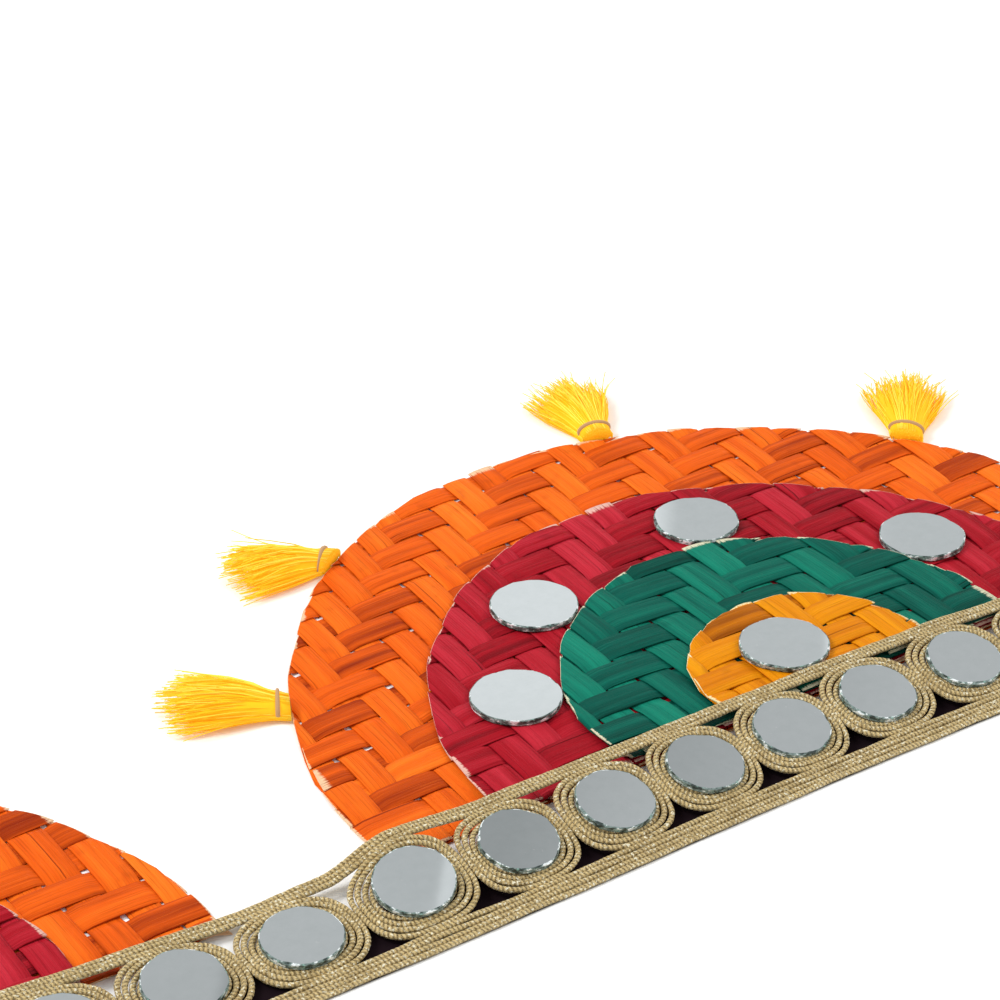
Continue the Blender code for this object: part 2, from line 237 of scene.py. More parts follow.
# where rings of points lie along a float that is two strips long, in strips
RING_SPOTS = np.array([0.04, 0.25, 0.6, 1.0, 1.4, 1.7, 1.82, 1.91, 1.98])
# width of the pale edge at a cut, and how close the rings of points that end there may lie
CUT_GAP, CUT_STEP = 0.25, 0.02
# how far the fibre pattern is moved from strip to strip, along and across, and for upright strips
LAY_ALONG, LAY_ACROSS, LAY_UPRIGHT = 37.7, 11.3, 400.0
# places across a strip, from -1 to 1, and heights over its middle, once round its section
STRIP_SECTION = np.array(
    [(-1, -0.08), (-0.95, 0.12), (-0.5, 0.19), (0, 0.20), (0.5, 0.19), (0.95, 0.12), (1, -0.08), (0, -0.2)]
)
# name, radius, arc centre x and y, straight edge y, dark, middle and light dye, cut edge; the tone between
# dark and light dye also carries painted light
MATS = (
    ("orange", 120.4, -2.4, 5.7, -10.0, "8A2603", "E35A0C", "FF7D1F", "F5CFA6"),
    ("crimson", 91.2, -0.8, -1.4, -10.0, "4E040C", "A00F1E", "CC3040", "EBC0B0"),
    ("green", 58.6, 0.4, 0.4, -10.0, "012A22", "035548", "128068", "EAE3C2"),
    ("amber", 31.3, 2.6, -3.5, -8.5, "8E4802", "D67A02", "F2A00A", "F8E8B4"),
)
HAND_CUT = (
    ((-8.6, 8.2, -17.4), (0.0, -7.7, -4.3), (0.0, -5.0, -2.0), (0.0, -3.0, 0.0)),
    ((0.0, 0.0, 0.0), (0.0, 0.0, 0.0), (0.0, 0.0, 0.0), (0.0, 0.0, 0.0)),
    ((-1.2, 1.5, -0.6), (0.8, -1.6, 0.5), (-0.9, 1.2, 0.0), (0.6, -1.0, 0.4)),
)
# for each fan and mat: x and y of a crosswise float's middle, strip pitch x and y, slant of rows
# and columns, and the way that the floats step, 1 up to the right or -1 down to the right
WEAVES = (
    (
        (100.0, 12.0, 9.2, 9.6, 0.02, 0.0, -1),
        (84.0, 12.0, 9.0, 9.4, 0.0, 0.02, -1),
        (-13.0, 46.0, 9.2, 9.4, 0.02, 0.04, 1),
        (-3.0, 22.0, 9.0, 9.2, 0.02, 0.02, 1),
    ),
    (
        (-16.0, 104.0, 8.5, 9.0, 0.05, 0.04, 1),
        (-11.0, 58.0, 8.6, 9.2, 0.03, 0.03, 1),
        (-19.0, 40.0, 9.2, 9.6, -0.05, -0.05, 1),
        (-3.0, 22.0, 9.0, 9.2, 0.02, 0.02, 1),
    ),
    (
        (-10.0, 98.0, 8.8, 9.1, -0.02, 0.04, 1),
        (-14.0, 61.0, 8.7, 9.0, 0.02, -0.03, -1),
        (-10.0, 40.0, 9.1, 9.5, -0.03, 0.02, 1),
        (4.0, 14.0, 9.2, 9.0, 0.01, 0.03, -1),
    ),
)


def dye(code, alpha=1.0):
    """Colour of a dye written as six hex digits, made linear by the usual screen curve."""
    parts = [int(code[i : i + 2], 16) / 255 for i in (0, 2, 4)]
    return (*[p / 12.92 if p <= 0.04045 else ((p + 0.055) / 1.055) ** 2.4 for p in parts], alpha)


def mesh_piece(name, points, faces, uv=None, values=None):
    """One object from points in millimetres and lists of face arrays with any number of corners.

    uv holds a pair for each point and values a named number for each point.
    """
    mesh = bpy.data.meshes.new(name)
    mesh.vertices.add(len(points))
    mesh.vertices.foreach_set("co", (np.asarray(points) * MM).ravel())
    corners = np.concatenate([f.ravel() for f in faces])
    sizes = np.concatenate([np.full(len(f), f.shape[1]) for f in faces])
    mesh.loops.add(len(corners))
    mesh.loops.foreach_set("vertex_index", corners)
    mesh.polygons.add(len(sizes))
    mesh.polygons.foreach_set("loop_start", np.concatenate([[0], np.cumsum(sizes)[:-1]]))
    mesh.polygons.foreach_set("loop_total", sizes)
    mesh.update(calc_edges=True)
    mesh.validate()
    if uv is not None:
        layer = mesh.uv_layers.new(name="lay")
        layer.data.foreach_set("uv", np.asarray(uv)[corners].ravel())
    for key, value in (values or {}).items():
        mesh.attributes.new(key, "FLOAT", "POINT").data.foreach_set("value", np.asarray(value, float))
    mesh.shade_smooth()
    piece = bpy.data.objects.new(name, mesh)
    bpy.context.scene.collection.objects.link(piece)
    return piece


def sweep_faces(rings, sides, first):
    """Quads between closed rings of points, in ring order, and the two end caps, from a first index."""
    ring, side = np.meshgrid(np.arange(rings - 1), np.arange(sides), indexing="ij")
    a = first + ring * sides + side
    b = first + ring * sides + (side + 1) % sides
    walls = np.stack([a, b, b + sides, a + sides], axis=-1).reshape(-1, 4)
    start = first + np.arange(sides)[::-1]
    end = first + (rings - 1) * sides + np.arange(sides)
    return walls, np.stack([start, end])


def mat_arc(fan, layer):
    """Radius and centre of a mat's arc, the centre counted from the fan's place on the lace."""
    longer, right, up = HAND_CUT[fan - 1][layer]
    return MATS[layer][1] + longer, MATS[layer][2] + right, MATS[layer][3] + up


def mat_radius(fan, layer, angle):
    """Radius of a mat's cut edge at an angle: an arc with the small waves of hand cutting."""
    radius = mat_arc(fan, layer)[0]
    phase = 1.7 * (fan - 2) + 0.9 * layer + 0.52
    wave = MAT_WAVE * radius * np.sin(4 * angle + phase)
    return radius + wave + MAT_RIPPLE * np.sin(17 * angle + 2 * phase)


def float_height(distance):
    """Height of a strip's middle at a distance, in strips, from the middle of its float.

    It is up to one strip away and down from one to two. It arches a little over the float and
    dives, eased, just before it goes under the next strip.
    """
    share = np.clip((distance - DIVE_FROM) / (DIVE_TO - DIVE_FROM), 0, 1)
    up = 1 - 2 * share * share * (3 - 2 * share)
    arch = np.cos(np.clip(distance, 0, 1) * math.pi / 2) * STRIP_ARCH
    return STRIP_RISE * up + arch


def arc_halves(fan, layer, offset, slant, upright):
    """How far slanted lines reach from the arc's centre line, back and forth, to the cut edge."""
    halves = []
    for sign in (-1, 1):
        half = np.full_like(offset, 10.0)
        for _ in range(6):
            beside = offset + slant * sign * half
            angle = np.arctan2(sign * half, beside) if upright else np.arctan2(beside, sign * half)
            half = np.sqrt(np.maximum(mat_radius(fan, layer, angle) ** 2 - beside**2, 0.25))
        halves.append(sign * half)
    return halves


def strip_middles(zero, pitch, low, high, draw):
    """Numbers of the strips between low and high, and where their middles lie, a little uneven."""
    numbers = np.arange(math.floor((low - zero) / pitch) - 2, math.ceil((high - zero) / pitch) + 3)
    return numbers, zero + numbers * pitch + draw.normal(0, 0.22, len(numbers))


def plait(fan, layer):
    """Points, faces, lay and values of every strip of one mat, counted from the fan's place."""
    radius, centre_x, centre_y = mat_arc(fan, layer)
    base = MATS[layer][4]
    at_x, at_y, pitch_x, pitch_y, slant_x, slant_y, hand = WEAVES[fan - 1][layer]
    draw = np.random.default_rng(100 * fan + layer)
    zero_y = at_y - slant_x * (at_x - centre_x)
    zero_x = at_x + pitch_x / 2 - slant_y * (at_y - centre_y)
    rows, row_middles = strip_middles(zero_y, pitch_y, base, centre_y + radius, draw)
    columns, column_middles = strip_middles(zero_x, pitch_x, centre_x - radius, centre_x + radius, draw)
    # rows lie level along the straight edge and reach their full slant further in
    row_slants = slant_x * np.clip((row_middles - base) / 40, 0, 1)
    column_slants = np.full(len(columns), slant_y)
    points, walls, caps, lay, tone_and_shade, raw = [], [], [], [], [], []
    count = 0
    for upright in (False, True):
        if upright:
            strips, crossing = (columns, column_middles, column_slants), (rows, row_middles, row_slants)
            pitch, here, there = pitch_x, centre_x, centre_y
        else:
            strips, crossing = (rows, row_middles, row_slants), (columns, column_middles, column_slants)
            pitch, here, there = pitch_y, centre_y, centre_x
        edge_places = (crossing[0][:-1] + crossing[0][1:]) / 2 + (0 if upright else 0.5)
        edge_middles = (crossing[1][:-1] + crossing[1][1:]) / 2
        edge_slants = (crossing[2][:-1] + crossing[2][1:]) / 2
        for number, middle, slant in zip(*strips):
            wide = pitch * draw.uniform(0.92, 1.0)
            bend, bend_phase, curl = draw.uniform(0.0, 0.25), draw.uniform(0, 6.3), draw.uniform(0, 6.3)
            lift_edge, strip_tone = draw.normal(0, 0.05), draw.normal(0, 1)
            trims = np.abs(draw.normal(0, 0.35, 2))
            lean = STRIP_SECTION[:, 0]
            floor_line = here - radius if upright else max(base, here - radius)
            across = np.clip(middle + lean * wide / 2, floor_line + 0.25, here + radius - 0.3)
            if across.max() - across.min() < 1.5:
                continue
            back, forth = arc_halves(fan, layer, across - here, slant, upright)
            start, end = there + back, there + forth
            if upright:
                start = np.maximum(start, base)
            start, end = start + trims[0], end - trims[1] + 0.3
            if (end - start).max() < 4:
                continue
            edges = edge_middles + edge_slants * (middle - here)
            float_place = hand * (number + 0.5) + 2 if upright else hand * number
            place_low, place_high = np.interp((start.min(), end.max()), edges, edge_places)
            first = float_place - 1 + 2 * math.floor((place_low - float_place + 1) / 2)
            spots = (np.arange(first, place_high + 2, 2)[:, None] + RING_SPOTS).ravel()
            rings_at = np.interp(spots, edge_places, edges)
            rings_at = rings_at[(rings_at > start.min() + 0.4) & (rings_at < end.max() - 0.4)]
            rings_at = np.concatenate([[start.min()], rings_at, [end.max()]])[:, None]
            order = np.arange(len(rings_at))[:, None]
            last = order[-1, 0]
            gap = np.clip((end - start) / 4, 0.01, CUT_GAP)
            step = np.clip((end - start) / 4 / last, 0.0005, CUT_STEP)
            along = np.maximum(rings_at, start + np.where(order > 0, gap + step * (order - 1), 0))
            along = np.minimum(along, end - np.where(order < last, gap + step * (last - 1 - order), 0))
            taper = 1 - 0.03 * (1 + np.sin(along / 23 + curl))
            side = middle + (across - middle) * taper + slant * (along - there)
            side = side + bend * np.sin(along / 30 + bend_phase)
            if not upright:
                side = np.maximum(side, base + 0.1)
            place = np.interp(along, edges, edge_places)
            distance = np.abs((place - float_place + 2) % 4 - 2)
            ripple = 0.05 * np.sin(along / 3.1 + curl) * lean + lift_edge * lean
            height = float_height(distance) + STRIP_SECTION[:, 1] + STRIP_CROWN * (1 - lean**2) + ripple
            height = np.maximum(height, 0.03 - MAT_THICK / 2)
            width_lay = np.broadcast_to(lean * wide / 2, along.shape)
            lay_along = along + LAY_ALONG * number + LAY_UPRIGHT * upright
            pair = np.stack([lay_along, width_lay + LAY_ACROSS * number], axis=-1)
            edge = np.clip(1 - np.minimum(along - start, end - along) / gap, 0, 1)
            ring = np.stack([side, along, height] if upright else [along, side, height], axis=-1)
            turned = slice(None) if upright else slice(None, None, -1)
            points.append(ring[:, turned].reshape(-1, 3))
            lay.append(pair[:, turned].reshape(-1, 2))
            raw.append(edge[:, turned].ravel())
            wall, cap = sweep_faces(*along.shape, count)
            walls.append(wall)
            caps.append(cap)
            count += along.size
            # painted light: upright strips get a lighter tone and crosswise strips a darker one, for how the
            # light falls on each direction; the rest of the tone differs at random from strip to strip
            tone_and_shade.append(np.full(along.size, 0.6 * strip_tone + (0.7 if upright else -0.55)))
    points = np.concatenate(points)
    points[:, 2] += MAT_STEP * layer + MAT_THICK / 2
    faces = [np.concatenate(walls), np.concatenate(caps)]
    values = {"tone_and_shade": np.concatenate(tone_and_shade), "raw": np.concatenate(raw)}
    return points, faces, np.concatenate(lay) * MM, values


def stretched_noise(tree, source, scale, detail, roughness):
    """Noise read from coordinates that are scaled differently along and across a strip."""
    mapping = node(tree, "ShaderNodeMapping", Scale=scale)
    noise = node(tree, "ShaderNodeTexNoise", Scale=1.0, Detail=detail, Roughness=roughness)
    tree.links.new(source, mapping.inputs["Vector"])
    tree.links.new(mapping.outputs[0], noise.inputs["Vector"])
    return noise.outputs["Fac"]


def named_value(tree, name):
    made = tree.nodes.new("ShaderNodeAttribute")
    made.attribute_name = name
    return made.outputs["Fac"]


def lay_coordinates(tree):
    made = tree.nodes.new("ShaderNodeUVMap")
    made.uv_map = "lay"
    return made.outputs[0]


def palm_finish(name, dark, middle, light, cut):
    """Dyed palm strip: fine fibres along it, streaks of weaker dye, pale raw pith at a cut, and painted light
    carried by each strip's tone.
    """
    material = bpy.data.materials.new(name)
    material.use_nodes = True
    tree = material.node_tree
    shader = tree.nodes["Principled BSDF"]
    lay = lay_coordinates(tree)
    broad = stretched_noise(tree, lay, (14, 330, 1), 2, 0.5)
    fibre = stretched_noise(tree, lay, (45, 2600, 1), 3, 0.65)
    hair = stretched_noise(tree, lay, (60, 5200, 1), 1, 0.5)
    split = stretched_noise(tree, lay, (9, 900, 1), 1, 0.4)
    blotch = stretched_noise(tree, lay, (130, 170, 1), 2, 0.5)
    # each strip's tone mixes its random tone with painted light: upright strips lighter, crosswise ones
    # darker
    tone_and_shade = named_value(tree, "tone_and_shade")
    depth = arithmetic(tree, "MULTIPLY_ADD", tone_and_shade, 0.17, remap(tree, broad, 0.25, 0.75, 0.28, 0.72))
    colour = blend_colours(tree, remap(tree, depth, 0.05, 0.45, 0.0, 1.0), dye(dark), dye(middle))
    colour = blend_colours(tree, remap(tree, depth, 0.45, 0.95, 0.0, 1.0), colour, dye(light))
    colour = blend_colours(tree, remap(tree, fibre, 0.30, 0.5, 0.42, 0.0), colour, dye(dark))
    colour = blend_colours(tree, remap(tree, hair, 0.62, 0.72, 0.0, 0.4), colour, dye(light))
    colour = blend_colours(tree, remap(tree, split, 0.24, 0.29, 0.75, 0.0), colour, dye(dark))
    colour = blend_colours(tree, remap(tree, blotch, 0.24, 0.38, 0.25, 0.0), colour, dye(dark))
    pith = arithmetic(tree, "MULTIPLY", named_value(tree, "raw"), remap(tree, fibre, 0.3, 0.6, 0.5, 1.6))
    colour = blend_colours(tree, remap(tree, pith, 0.45, 0.8, 0.0, 0.9), colour, dye(cut))
    tree.links.new(colour, shader.inputs["Base Color"])
    tree.links.new(remap(tree, fibre, 0.3, 0.7, 0.75, 0.55), shader.inputs["Roughness"])
    shader.inputs["Specular IOR Level"].default_value = 0.12
    ridge = arithmetic(tree, "ADD", fibre, arithmetic(tree, "MULTIPLY", broad, 1.2))
    ridge = arithmetic(tree, "ADD", ridge, remap(tree, split, 0.22, 0.30, -1.2, 0.0))
    bump = node(tree, "ShaderNodeBump", Strength=0.8, Distance=0.00035)
    tree.links.new(ridge, bump.inputs["Height"])
    tree.links.new(bump.outputs[0], shader.inputs["Normal"])
    return material


for layer, mat in enumerate(MATS):
    mat_finish = palm_finish(f"{mat[0]}_palm", *mat[5:9])
    for fan in FANS:
        mat_points, mat_faces, mat_lay, mat_values = plait(fan, layer)
        mat_points[:, :2] += fan_place(fan)
        mat_piece = mesh_piece(f"fan_{fan}_{mat[0]}_plait", mat_points, mat_faces, mat_lay, mat_values)
        mat_piece.data.materials.append(mat_finish)
        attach(mat_piece, "root")
        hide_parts(f"fan_{fan}_{mat[0]}_mat")


# The fan mirrors.
# Round mirrors cut from thin glass, silvered below, with a rough ground edge. Four lie on each
# crimson mat against the green one, and one on the amber mat, each on a dab of glue.
GLASS_SIDES = 72
FAN_GLASS_RADIUS, GLASS_THICK = 11.2, 1.5


def cut_glass(radius, thick, seed):
    """A turned disc whose top rim is chipped: radius and height vary round it by a few waves."""
    draw = np.random.default_rng(seed)
    turn = np.arange(GLASS_SIDES) * 2 * math.pi / GLASS_SIDES
    wave = sum(draw.normal(0, 0.04) * np.sin(k * turn + draw.uniform(0, 6.3)) for k in range(2, 9))
    chip = np.clip(draw.normal(0.2, 0.16, GLASS_SIDES), 0.06, 0.6)
    chip = (chip + np.roll(chip, 1) + np.roll(chip, -1)) / 3
    drop = np.clip(chip * draw.uniform(0.5, 1.2, GLASS_SIDES), 0.05, 0.5)
    inward = [0.15, 0.0, 0.0, chip * 0.5, chip + 0.12]
    radii = [radius + wave - less for less in inward]
    heights = [0 * turn, 0 * turn + 0.12, thick - 0.12 - drop, thick - 0.5 * drop, thick + 0 * turn]
    rings = [np.stack([r * np.cos(turn), r * np.sin(turn), h], axis=-1) for r, h in zip(radii, heights)]
    walls, caps = sweep_faces(len(radii), GLASS_SIDES, 0)
    return np.concatenate(rings), walls, caps


def silver_finish():
    """Silvered glass: a clean cool mirror with faint dust and a few pin spots."""
    material = bpy.data.materials.new("silvered_glass")
    material.use_nodes = True
    tree = material.node_tree
    shader = tree.nodes["Principled BSDF"]
    place = tree.nodes.new("ShaderNodeTexCoord").outputs["Object"]
    dust = stretched_noise(tree, place, (350, 350, 350), 4, 0.6)
    spot = stretched_noise(tree, place, (900, 900, 900), 2, 0.5)
    clean, dusty, bright = (0.80, 0.845, 0.86, 1), (0.72, 0.77, 0.78, 1), (0.95, 0.96, 0.97, 1)
    colour = blend_colours(tree, remap(tree, dust, 0.35, 0.75, 0.0, 0.5), clean, dusty)
    colour = blend_colours(tree, remap(tree, spot, 0.74, 0.79, 0.0, 0.7), colour, bright)
    tree.links.new(colour, shader.inputs["Base Color"])
    shader.inputs["Roughness"].default_value = 0.03
    shader.inputs["Metallic"].default_value = 1.0
    return material


def rim_finish():
    """Ground glass edge: grey-green, broken into dark and lighter facets, with near-white painted glints on
    some of them.
    """
    material = bpy.data.materials.new("ground_glass_edge")
    material.use_nodes = True
    tree = material.node_tree
    shader = tree.nodes["Principled BSDF"]
    place = tree.nodes.new("ShaderNodeTexCoord").outputs["Object"]
    facet_and_glint = stretched_noise(tree, place, (420, 420, 900), 3, 0.65)
    fleck = stretched_noise(tree, place, (900, 900, 900), 2, 0.6)
    colour = blend_colours(tree, remap(tree, facet_and_glint, 0.40, 0.50, 0.0, 1.0), dye("37423F"), dye("7F908C"))
    # painted glints: near-white patches on the chipped rim stand for light caught on its facets
    colour = blend_colours(tree, remap(tree, facet_and_glint, 0.54, 0.60, 0.0, 1.0), colour, dye("F4FAFB"))
    colour = blend_colours(tree, remap(tree, fleck, 0.60, 0.68, 0.0, 0.8), colour, dye("8FB8AC"))
    tree.links.new(colour, shader.inputs["Base Color"])
    shader.inputs["Roughness"].default_value = 0.15
    shader.inputs["Metallic"].default_value = 0.3
    bump = node(tree, "ShaderNodeBump", Strength=0.7, Distance=0.0005)
    tree.links.new(facet_and_glint, bump.inputs["Height"])
    tree.links.new(bump.outputs[0], shader.inputs["Normal"])
    return material


silver, rim = silver_finish(), rim_finish()


def silver_top(piece, first_face):
    """Give the rim finish to every face before first_face and the mirror finish to the rest."""
    piece.data.materials.append(rim)
    piece.data.materials.append(silver)
    flags = np.zeros(len(piece.data.polygons), int)
    flags[first_face:] = 1
    piece.data.polygons.foreach_set("material_index", flags)
    piece.data.set_sharp_from_angle(angle=math.radians(25))
    # a mirror face stays flat, or its reflections would bend towards the rim
    piece.data.polygons.foreach_set("use_smooth", flags == 0)


for fan in FANS:
    for number in range(1, 6):
        glass_low, glass_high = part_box(f"fan_{fan}_mirror_{number}")
        glass_middle = (glass_low + glass_high) / 2 / MM
        glass_points, glass_walls, glass_caps = cut_glass(FAN_GLASS_RADIUS, GLASS_THICK, 10 * fan + number)
        glass_points += (glass_middle.x, glass_middle.y, glass_low.z / MM)
        fan_glass = mesh_piece(f"fan_{fan}_glass_{number}", glass_points, [glass_walls, glass_caps])
        silver_top(fan_glass, len(glass_walls) + 1)
        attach(fan_glass, "root")
        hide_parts(f"fan_{fan}_mirror_{number}")


# The mirror lace.
# A trimming made of twisted gold cord: rounds of cord sewn about each small mirror, side by side,
# between four straight rows along the outer edge and three along the fans.
CORD = 1.40
RING_PITCH, RING_COUNT, RING_SHIFT = 27.0, 30, 8.0
RING_DRIFT, RING_DRIFT_STEP, RING_DRIFT_START = 2.1, 40.0, 6.2
LACE_Y, LACE_SLANT, LACE_SWAY, LACE_END = -23.0, 0.984, 1.0, 6.0
RAMP_START, RAMP_END = -16.6, 12.0
LACE_SETTLES, SEAT = 12.0, 0.3
LACE_GLASS_RADIUS, LACE_GLASS_FLOOR = 9.35, 1.25
RING_HALF_HIGH = 12.5
NEAR_ROWS = (-12.9, -14.3, -15.7, -17.1)
FAR_ROWS = (12.9, 14.3, 15.6)
CORD_SIDES = 8
# distance from a fan's middle and height of the lace's far edge
LACE_LIFT = np.array(
    [
        (-141.0, 2.6),
        (-122.0, 8.0),
        (-98.0, 6.2),
        (-32.0, 5.6),
        (32.0, 5.6),
        (60.0, 4.6),
        (92.0, 3.2),
        (119.0, 1.8),
        (140.0, 2.6),
    ]
)
ring_numbers = np.arange(-(RING_COUNT // 2), RING_COUNT - RING_COUNT // 2)
ring_drifts = RING_DRIFT * np.sin(np.radians(RING_DRIFT_STEP * (ring_numbers + RING_DRIFT_START)))
RING_PLACES = RING_SHIFT + RING_PITCH * ring_numbers + ring_drifts
LACE_START = RING_PLACES[0] - RING_PITCH / 2 - LACE_END
LACE_STOP = RING_PLACES[-1] + RING_PITCH / 2 + LACE_END


def ease(share):
    return share * share * (3 - 2 * share)


def lace_lift(along):
    """Height of the lace's far edge: eased between the rows of LACE_LIFT, down at the lace's ends."""
    from_fan = (along + FAN_PITCH / 2) % FAN_PITCH - FAN_PITCH / 2
    knots = LACE_LIFT[:, 0]
    row = np.clip(np.searchsorted(knots, from_fan, side="right") - 1, 0, len(knots) - 2)
    share = np.clip((from_fan - knots[row]) / (knots[row + 1] - knots[row]), 0, 1)
    height = LACE_LIFT[row, 1] + (LACE_LIFT[row + 1, 1] - LACE_LIFT[row, 1]) * ease(share)
    settles = np.clip(np.minimum(along - LACE_START, LACE_STOP - along) / LACE_SETTLES, 0, 1)
    return SEAT + (height - SEAT) * ease(settles)


def lace_place(along, across, above):
    """Place of lace points: the near edge is on the floor and the rest slants up onto the mats."""
    ramp = np.clip((across - RAMP_START) / (RAMP_END - RAMP_START), 0, 1)
    y = LACE_Y + LACE_SWAY * np.cos(2 * math.pi * along / FAN_PITCH) + LACE_SLANT * across
    height = lace_lift(along) * ramp + above
    return np.stack([HOME_X + along, HOME_Y + y, height + 0 * along], axis=-1)


def cord_tube(path, thick, closed, phase=0.0):
    """A round cord along a path: rings of points about it, its lay of metres along and turns round."""
    if closed:
        tangent = np.roll(path, -1, axis=0) - np.roll(path, 1, axis=0)
    else:
        tangent = np.gradient(path, axis=0)
    tangent /= np.linalg.norm(tangent, axis=1)[:, None]
    side = np.cross(tangent, (0, 0, 1.0))
    side /= np.linalg.norm(side, axis=1)[:, None]
    up = np.cross(side, tangent)
    turn = np.arange(CORD_SIDES) * 2 * math.pi / CORD_SIDES
    swell = 1 + 0.05 * np.sin(np.arange(len(path)) * 1.9 + phase)[:, None, None]
    around = side[:, None] * np.cos(turn)[:, None] + up[:, None] * np.sin(turn)[:, None]
    rings = path[:, None] + around * swell * thick / 2
    step = np.linalg.norm(np.diff(path, axis=0, append=path[:1] if closed else path[-1:]), axis=1)
    run = np.concatenate([[0], np.cumsum(step)[:-1]]) + 13.7 * phase
    lay = np.stack(np.broadcast_arrays(run[:, None], turn / (2 * math.pi)), axis=-1)
    return rings, lay


def cord_piece(name, cords):
    """One mesh of many cords; a closed one is joined end to end and an open one is capped."""
    points, lay, walls, caps, count = [], [], [], [], 0
    for rings, pairs, closed in cords:
        if closed:
            rings = np.concatenate([rings, rings[:1]])
            step = pairs[1, 0, 0] - pairs[0, 0, 0]
            pairs = np.concatenate([pairs, pairs[:1] + (pairs[-1, 0, 0] + step - pairs[0, 0, 0], 0)])
        wall, cap = sweep_faces(len(rings), CORD_SIDES, count)
        walls.append(wall)
        caps.append(cap)
        points.append(rings.reshape(-1, 3))
        lay.append(pairs.reshape(-1, 2))
        count += rings.shape[0] * CORD_SIDES
    faces = [np.concatenate(walls), np.concatenate(caps)]
    return mesh_piece(name, np.concatenate(points), faces, np.concatenate(lay) * (MM, 1))


def row_cord(across, seed):
    """A straight row of cord along the lace, with the small wander of a sewn row."""
    along = np.arange(LACE_START, LACE_STOP, 1.7)
    wander = 0.10 * np.sin(along / 7.1 + seed) + 0.07 * np.sin(along / 3.3 + 2 * seed)
    path = lace_place(along, across + wander, CORD / 2 + 0.05 * np.sin(along / 5.2 + seed))
    return *cord_tube(path, CORD, False, seed), False


def ring_cord(number, round_number):
    """One round of cord about a mirror: an oval that is squarer the further out it lies."""
    gap_left = RING_PLACES[number] - RING_PLACES[number - 1] if number else RING_PITCH
    gap_right = RING_PLACES[number + 1] - RING_PLACES[number] if number + 1 < RING_COUNT else RING_PITCH
    power = 2 / (2.75 - 0.2 * round_number)
    inward = CORD * (0.48 + 0.97 * round_number)
    turn = np.linspace(0, 2 * math.pi, 56, endpoint=False) + 0.4 * number
    half_wide = np.where(np.cos(turn) < 0, gap_left, gap_right) / 2 - inward
    along = half_wide * np.sign(np.cos(turn)) * np.abs(np.cos(turn)) ** power
    across = (RING_HALF_HIGH - inward) * np.sign(np.sin(turn)) * np.abs(np.sin(turn)) ** power
    wander = 0.08 * np.sin(5 * turn + number + round_number)
    above = CORD / 2 + 0.2 * (round_number == 1) + 0.1 * np.sin(3 * turn + number)
    path = lace_place(RING_PLACES[number] + along + wander, across, above)
    return *cord_tube(path, CORD, True, 3 * number + round_number), True


def gold_cord_finish():
    """Twisted metal thread: slanting bright plies with dark lines between them and painted glints."""
    material = bpy.data.materials.new("twisted_gold_cord")
    material.use_nodes = True
    tree = material.node_tree
    shader = tree.nodes["Principled BSDF"]
    lay = lay_coordinates(tree)
    split = tree.nodes.new("ShaderNodeSeparateXYZ")
    tree.links.new(lay, split.inputs[0])
    ply_run = arithmetic(tree, "MULTIPLY", split.outputs["X"], 2 * math.pi / 0.00105)
    ply_turn = arithmetic(tree, "MULTIPLY", split.outputs["Y"], 2 * math.pi * 2)
    place = tree.nodes.new("ShaderNodeTexCoord").outputs["Object"]
    wobble = arithmetic(tree, "MULTIPLY", stretched_noise(tree, place, (500, 500, 500), 2, 0.5), 4.0)
    ply_phase = arithmetic(tree, "ADD", arithmetic(tree, "ADD", ply_run, ply_turn), wobble)
    ply = arithmetic(tree, "SINE", ply_phase)
    thread = stretched_noise(tree, lay, (2600, 18, 1), 2, 0.7)
    patch = stretched_noise(tree, place, (160, 160, 160), 3, 0.6)
    painted_glint = stretched_noise(tree, place, (1500, 1500, 1500), 1, 0.5)
    colour = blend_colours(tree, remap(tree, ply, -0.95, 0.0, 0.0, 1.0), dye("5E4624"), dye("D6B97E"))
    colour = blend_colours(tree, remap(tree, thread, 0.45, 0.65, 0.0, 0.75), colour, dye("F0DEA8"))
    colour = blend_colours(tree, remap(tree, patch, 0.45, 0.65, 0.0, 0.3), colour, dye("8A7040"))
    # painted glints: bright specks painted into the colour as sparkle on the plies
    colour = blend_colours(tree, remap(tree, painted_glint, 0.60, 0.68, 0.0, 0.95), colour, dye("FFF8DC"))
    tree.links.new(colour, shader.inputs["Base Color"])
    shader.inputs["Metallic"].default_value = 0.2
    tree.links.new(remap(tree, thread, 0.4, 0.7, 0.5, 0.3), shader.inputs["Roughness"])
    height = arithmetic(tree, "ADD", ply, arithmetic(tree, "MULTIPLY", thread, 0.8))
    bump = node(tree, "ShaderNodeBump", Strength=0.9, Distance=0.00018)
    tree.links.new(height, bump.inputs["Height"])
    tree.links.new(bump.outputs[0], shader.inputs["Normal"])
    return material


gold = gold_cord_finish()
row_cords = [row_cord(across, 1.3 * i) for i, across in enumerate((*NEAR_ROWS, *FAR_ROWS))]
ring_cords = [ring_cord(number, r) for number in range(RING_COUNT) for r in range(4)]
lace_cords = cord_piece("lace_cords", row_cords + ring_cords)
lace_cords.data.materials.append(gold)
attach(lace_cords, "root")
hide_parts("mirror_lace")


def lace_glass(number):
    """A small mirror on its ring: a cut disc laid in the lace's own slanting plane."""
    points, walls, caps = cut_glass(LACE_GLASS_RADIUS, GLASS_THICK, 500 + number)
    draw = np.random.default_rng(700 + number)
    here = RING_PLACES[number]
    spots = np.array([here, here + 6.0, here - 6.0, here, here])
    levels = lace_place(spots, np.array([0, 0, 0, 6.0, -6.0]), LACE_GLASS_FLOOR)
    along_x = levels[1] - levels[2]
    along_y = levels[3] - levels[4]
    along_x[2] += draw.normal(0, 0.25)
    along_y[2] += draw.normal(0, 0.25)
    axis_x = along_x / np.linalg.norm(along_x)
    normal = np.cross(along_x, along_y)
    normal /= np.linalg.norm(normal)
    axis_y = np.cross(normal, axis_x)
    placed = levels[0] + points[:, :1] * axis_x + points[:, 1:2] * axis_y + points[:, 2:] * normal
    return placed, walls, caps


